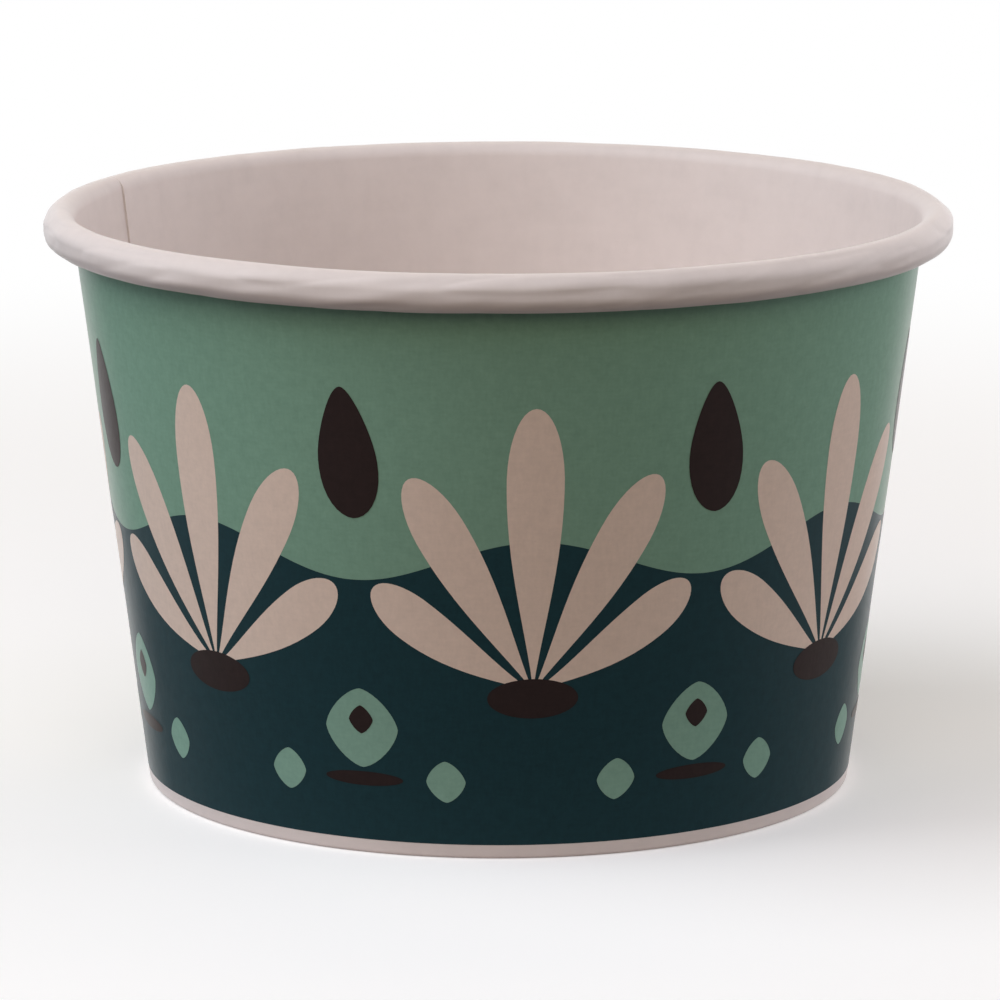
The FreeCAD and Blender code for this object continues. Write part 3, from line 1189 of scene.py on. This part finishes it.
@dataclass
class PrintedShapes:
    """Shapes of one ink, repeated round the wall and rolled with the blank.

    Attributes:
        offset: How far the repeat's middle lies from a fan's, in repeats.
        ink: How far the shapes lie over the wall.
        grid: Length of the sides of the triangles.
        clear: How near a shape's corners the grid stops, in grid lengths.
        feelers: How far across and up the neighbours lie that give a point's normal.
        map_margins: What is left free beside and over each repeat on the bake map.
    """

    blank: Blank
    plan: PrintPlan
    name: str
    shapes: Sequence[Petal | Round]
    offset: float
    ink: float
    grid: float = 1.0 * MM
    clear: float = 0.35
    feelers: tuple[float, float] = (0.15 * MM, 0.2 * MM)
    map_margins: tuple[float, float] = (0.02, 0.01)

    def place(self, number: int) -> float:
        """Angle of the middle of one repeat, within half a turn of the overlap's free edge."""
        edge = self.blank.sizes.seam_angle
        angle = self.plan.first_fan + (self.offset + number) * self.plan.pitch
        return (angle - edge + math.pi) % TURN - math.pi + edge

    def free_edge(self, place: float) -> Callable[[float], float]:
        """Where the overlap's free edge runs on the flat print of one repeat."""
        sizes = self.blank.sizes
        return lambda height: (sizes.lap_start(height) - place) * sizes.printed_radius(height)

    def pieces(self, place: float) -> Iterator[Outline]:
        """The outlines of one repeat, cut in two where the overlap's free edge crosses them.

        Args:
            place: Angle of the repeat's middle.

        Yields:
            Each outline. What lies on the outer layer is set off by the print's slip.
        """
        edge = self.free_edge(place)
        for shape in self.shapes:
            outline = shape.outline()
            for side in (-1, 1):
                kept = cut_at_line(outline, edge, side)
                if len(kept) < 3:
                    continue
                crossed = len(kept) != len(outline)
                rise = self.plan.slip if crossed and side > 0 else 0.0
                yield [(x, y - rise) for x, y in kept]

    def rolled(self, place: float, spot: Vector, inside: float) -> Vector:
        """Roll a point of the flat print onto the wall.

        Args:
            place: Angle of the repeat's middle.
            spot: The point on the flat print.
            inside: How far across the middle of its outline lies.

        Returns:
            The point in the frame.
        """
        angle = place + spot.x / self.blank.sizes.printed_radius(spot.y)
        inwards = math.copysign(4 * self.blank.edge_slack, inside - spot.x)
        lift = self.blank.lift_at(angle + inwards, spot.y)
        return self.blank.printed(angle, spot.y, lift, self.ink)

    def normal(self, place: float, spot: Vector, inside: float) -> Vector:
        """The rolled print's normal at a point, from its neighbours."""
        aside, up = Vector((self.feelers[0], 0.0)), Vector((0.0, self.feelers[1]))
        if inside < spot.x:
            aside.negate()
        across = self.rolled(place, spot + aside, inside) - self.rolled(place, spot, inside)
        upwards = self.rolled(place, spot + up, inside) - self.rolled(place, spot - up, inside)
        return across.cross(upwards).normalized() * math.copysign(1, aside.x)

    def cut(self, outline: Outline) -> tuple[list[Vector], list[list[int]]]:
        """Cut a shape out of the flat print, in triangles small enough to be rolled.

        Args:
            outline: The shape's outline.

        Returns:
            The flat points and the triangles.
        """
        corners = [Vector(corner) for corner in outline]
        points = list(corners)
        across, upwards = (
            range(math.floor(min(side) / self.grid), math.ceil(max(side) / self.grid) + 1)
            for side in zip(*corners)
        )
        for i in across:
            for j in upwards:
                spot = Vector(((i + 0.5 * (j % 2)) * self.grid, j * self.grid))
                if min((spot - corner).length for corner in corners) > self.clear * self.grid:
                    points.append(spot)
        border = list(range(len(corners)))
        made = geometry.delaunay_2d_cdt(points, [], [border], 1, CUT_PRECISION)
        return made[0], [list(face) for face in made[2]]

    def build(self, finish: Material) -> Object:
        """Make the piece.

        Args:
            finish: The shapes' ink.

        Returns:
            The piece.
        """
        points, normals, triangles, flat = [], [], [], []
        for number in range(self.plan.repeats):
            place = self.place(number)
            for outline in self.pieces(place):
                inside = (min(x for x, _ in outline) + max(x for x, _ in outline)) / 2
                spots, faces = self.cut(outline)
                start = len(points)
                for spot in spots:
                    points.append(self.rolled(place, spot, inside))
                    normals.append(self.normal(place, spot, inside))
                    flat.append((number, spot.x, spot.y))
                triangles.extend([[start + corner for corner in face] for face in faces])
        mesh = bpy.data.meshes.new(self.name)
        mesh.from_pydata(points, [], triangles)
        mesh.uv_layers.new(name=BAKE_MAP).data.foreach_set("uv", self.map_places(mesh, flat))
        mesh.materials.append(finish)
        mesh.shade_smooth()
        mesh.normals_split_custom_set_from_vertices(normals)
        made = link(self.name, mesh)
        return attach(made, "root")

    def map_places(self, mesh: Mesh, flat: Sequence[tuple[int, float, float]]) -> list[float]:
        """Lay the repeats side by side on the bake map, in two rows.

        Args:
            mesh: The rolled mesh.
            flat: Each point's repeat and its place on the flat print.

        Returns:
            The map's places, corner by corner.
        """
        _, xs, ys = zip(*flat)
        low_x, low_y = min(xs), min(ys)
        wide, high = max(xs) - low_x, max(ys) - low_y
        beside, over = self.map_margins
        per_row = math.ceil(self.plan.repeats / 2)
        places = []
        for loop in mesh.loops:
            number, x, y = flat[loop.vertex_index]
            row, column = divmod(number, per_row)
            across = beside + (1 - 2 * beside) * (x - low_x) / wide
            up = over + (1 - 2 * over) * (y - low_y) / high
            places += [(column + across) / per_row, (row + up) / 2]
        return places


@dataclass(frozen=True)
class SoftLamp:
    """A soft box that looks at the cup. An azimuth of 0 is by the camera, a right angle to its right."""

    name: str
    azimuth: float
    elevation: float
    distance: float
    width: float
    height: float
    watts: float
    colour: Colour

    def build(self, target: Vector) -> Object:
        """Set the lamp up, looking at the target."""
        light = bpy.data.lights.new(self.name, "AREA")
        light.shape = "RECTANGLE"
        light.size = self.width
        light.size_y = self.height
        light.energy = self.watts
        light.color = self.colour
        flat = self.distance * math.cos(self.elevation)
        away = on_turn(flat, self.azimuth - UP, self.distance * math.sin(self.elevation))
        return look_at(link(self.name, light), target, away)


# Name, azimuth and elevation in degrees, distance, width and height in metres, watts, colour
SOFT_BOXES = (
    ("left_high", -80, 50, 0.62, 0.4, 0.5, 1.75, (0.97, 1.0, 1.0)),
    ("left_front", -60, 30, 0.62, 0.4, 0.5, 0.9, (1.0, 0.9, 0.93)),
    ("left_side", -95, 10, 0.62, 0.5, 0.5, 0.4, (0.2, 0.7, 1.0)),
    ("right_side", 95, 10, 0.62, 0.5, 0.5, 1.9, (0.98, 0.97, 1.0)),
    ("right_back", 135, 20, 0.62, 0.4, 0.5, 0.75, (1.0, 0.95, 0.94)),
    ("top_back", 180, 50, 0.7, 0.6, 0.5, 0.65, (1.0, 0.72, 0.4)),
    ("front_high", 0, 32, 0.8, 0.5, 0.4, 1.2, (1.0, 0.9, 0.6)),
    ("top_front", 0, 58, 0.7, 0.5, 0.5, 0.85, (0.7, 0.7, 1.0)),
)


@dataclass(frozen=True)
class Studio:
    """A plain pale floor, a white surround and soft lamps.

    Attributes:
        foot_reach: Where the foot's bounce turns into the floor's, going outwards.
        fade_reach: Where the floor turns into the white surround.
    """

    surround: float = 0.03
    floor_size: float = 3.0
    floor_bounce: Colour = (0.15, 0.115, 0.115)
    foot_bounce: Colour = (0.6, 0.55, 0.55)
    foot_reach: tuple[float, float] = (42 * MM, 60 * MM)
    floor_seen: Colour = (0.86, 0.86, 0.86)
    floor_glow: float = 0.25
    fade_reach: tuple[float, float] = (0.12, 0.34)

    def build_world(self) -> None:
        """White where the camera looks past the cup, and a soft grey light from all round."""
        world = bpy.data.worlds.new("surround")
        bpy.context.scene.world = world
        bench = ShaderBench.fresh(world)
        lights = []
        for strength in (self.surround, 1.0):
            fed = {"Strength": strength, "Color": (1.0, 1.0, 1.0, 1.0)}
            lights.append(bench.add("ShaderNodeBackground", fed).outputs["Background"])
        mixed = bench.mix(bench.straight_rays(), *lights)
        bench.add("ShaderNodeOutputWorld", {"Surface": mixed})

    def build_floor(self) -> Object:
        """Lay the floor, which shows pale to the camera and throws less light back at the cup.

        Returns:
            The floor.
        """
        low, high = -self.floor_size / 2, self.floor_size / 2
        corners = [(low, low, 0.0), (high, low, 0.0), (high, high, 0.0), (low, high, 0.0)]
        mesh = bpy.data.meshes.new("floor")
        mesh.from_pydata(corners, [], [(0, 1, 2, 3)])
        material = bpy.data.materials.new("pale_floor")
        bench = ShaderBench.fresh(material)
        place = bench.add("ShaderNodeTexCoord").outputs["Object"]
        away = bench.add("ShaderNodeVectorMath", {0: place}, operation="LENGTH").outputs["Value"]
        tint = bench.add("ShaderNodeValToRGB", {"Fac": bench.between(away, *self.foot_reach)})
        tint.color_ramp.elements[0].color = (*self.foot_bounce, 1.0)
        tint.color_ramp.elements[1].color = (*self.floor_bounce, 1.0)
        tinted = {"Color": tint.outputs["Color"]}
        bounce = bench.add("ShaderNodeBsdfDiffuse", tinted).outputs["BSDF"]
        pale = {"Color": (*self.floor_seen, 1.0)}
        matt = bench.add("ShaderNodeBsdfDiffuse", pale).outputs["BSDF"]
        glow = bench.add("ShaderNodeEmission", {"Strength": self.floor_glow}).outputs["Emission"]
        seen = bench.add("ShaderNodeAddShader", {0: matt, 1: glow}).outputs["Shader"]

        # Away from the cup the floor turns into the white of the surround
        white = bench.add("ShaderNodeEmission").outputs["Emission"]
        faded = bench.mix(bench.between(away, *self.fade_reach), seen, white)
        above = bench.mix(bench.straight_rays(), bounce, faded)

        # From below the floor is clear, so that the foot can be looked at
        clear = bench.add("ShaderNodeBsdfTransparent").outputs["BSDF"]
        below = bench.add("ShaderNodeNewGeometry").outputs["Backfacing"]
        bench.add("ShaderNodeOutputMaterial", {"Surface": bench.mix(below, above, clear)})
        mesh.materials.append(material)
        floor = link("floor", mesh)
        return floor

    def build(self, target: Vector) -> None:
        """Set up the floor, the surround and the lamps round a target."""
        self.build_world()
        self.build_floor()
        for name, azimuth, elevation, *rest in SOFT_BOXES:
            SoftLamp(name, math.radians(azimuth), math.radians(elevation), *rest).build(target)


@dataclass(frozen=True)
class PhotoCamera:
    """The camera that took the picture, level and in front of the cup."""

    elevation: float = math.radians(11.529)
    distance: float = 605.5 * MM
    lens_mm: float = 204.2
    shift_x: float = 0.0015
    shift_y: float = -0.0122
    sees_from: float = 10 * MM
    sees_to: float = 10.0

    def build(self, target: Vector) -> Object:
        """Set the camera up, aimed at the target."""
        data = bpy.data.cameras.new("photo_camera")
        data.lens = self.lens_mm
        data.shift_x = self.shift_x
        data.shift_y = self.shift_y
        data.clip_start = self.sees_from
        data.clip_end = self.sees_to
        away = Vector((0.0, -math.cos(self.elevation), math.sin(self.elevation))) * self.distance
        made = look_at(link("photo_camera", data), target, away)
        bpy.context.scene.camera = made
        return made


def report(made: Object) -> None:
    """Say which piece was made, and how many faces it has."""
    log.info("%s: %d faces", made.name, len(made.data.polygons))


def build_print(blank: Blank, grain: NodeTree) -> None:
    """Print the wall: two fields of colour, and the shapes over them.

    Args:
        blank: The rolled board.
        grain: The shared grain group.
    """
    plan = PrintPlan()
    green = ink_finish("ink_upper_green", UPPER_GREEN, 0.10, sheen=0.3).build(grain)
    teal = ink_finish("ink_lower_teal", LOWER_TEAL, 0.16).build(grain)
    cream = ink_finish("ink_cream", CREAM, 0.06).build(grain)
    mint = ink_finish("ink_mint", MINT, 0.09).build(grain)
    brown = ink_finish("ink_seed_brown", SEED_BROWN, 0.2).build(grain)
    report(PrintField(blank, plan, "print_upper_field", upper=True).build(green))
    report(PrintField(blank, plan, "print_lower_field", upper=False).build(teal))

    foot = (0.0, 18.0 * MM)
    fan = [Petal(foot, 29.5 * MM, 5.8 * MM)]
    for length, width, lean, bend in ((25.5, 5.3, 29, 2), (19.5, 4.8, 64, -14)):
        for side in (1, -1):
            turn = (math.radians(side * lean), math.radians(side * bend))
            fan.append(Petal(foot, length * MM, width * MM, *turn))
    seed_height = 42.5 * MM
    between_fans = plan.pitch / 2 * blank.sizes.printed_radius(seed_height)
    dark = (
        Round((0.0, 17.2 * MM), 4.6 * MM, 2.1 * MM),
        Round((between_fans, seed_height), 3.1 * MM, 6.8 * MM, fullness=1.85, narrowing=0.3),
    )
    lozenges = (
        Round((0.0, 13.5 * MM), 3.9 * MM, 4.2 * MM, fullness=1.5),
        Round((-8.6 * MM, 8.2 * MM), 2.0 * MM, 2.2 * MM, fullness=1.5),
        Round((8.6 * MM, 8.2 * MM), 2.0 * MM, 2.2 * MM, fullness=1.5),
    )
    marks = (
        Round((0.0, 14.4 * MM), 1.3 * MM, 1.5 * MM, fullness=1.4),
        Round((0.0, 8.1 * MM), 4.2 * MM, 0.75 * MM),
    )
    lower, upper = 0.035 * MM, 0.05 * MM
    for name, shapes, offset, ink, finish in (
        ("print_fans", fan, 0.0, lower, cream),
        ("print_seeds", dark, 0.0, upper, brown),
        ("print_lozenges", lozenges, 0.5, lower, mint),
        ("print_marks", marks, 0.5, upper, brown),
    ):
        report(PrintedShapes(blank, plan, name, shapes, offset, ink).build(finish))


def main() -> None:
    """Load the frame, build each sub-assembly over it, and set up the studio and camera."""
    logging.basicConfig(level=logging.INFO, format="%(name)s %(message)s")
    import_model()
    low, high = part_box("sidewall")
    sizes = CupSizes(rim_radius=(high.x - low.x) / 2)
    bpy.context.scene.view_settings.view_transform = "Standard"

    grain = PaperGrain().build()
    bare = board_finish("bare_board", BARE_BOARD, 0.4).build(grain)
    raw = board_finish("raw_board_edge", RAW_EDGE, 0.75).build(grain)
    blank = Blank(sizes, Unevenness())
    report(Sidewall(blank, walk_sidewall(sizes)).build(bare, raw))
    report(BaseDisc(sizes).build(bare, raw))
    build_print(blank, grain)

    middle = Vector((0.0, 0.0, sizes.height / 2))
    Studio().build(middle)
    PhotoCamera().build(middle)


if __name__ == "__main__":
    main()
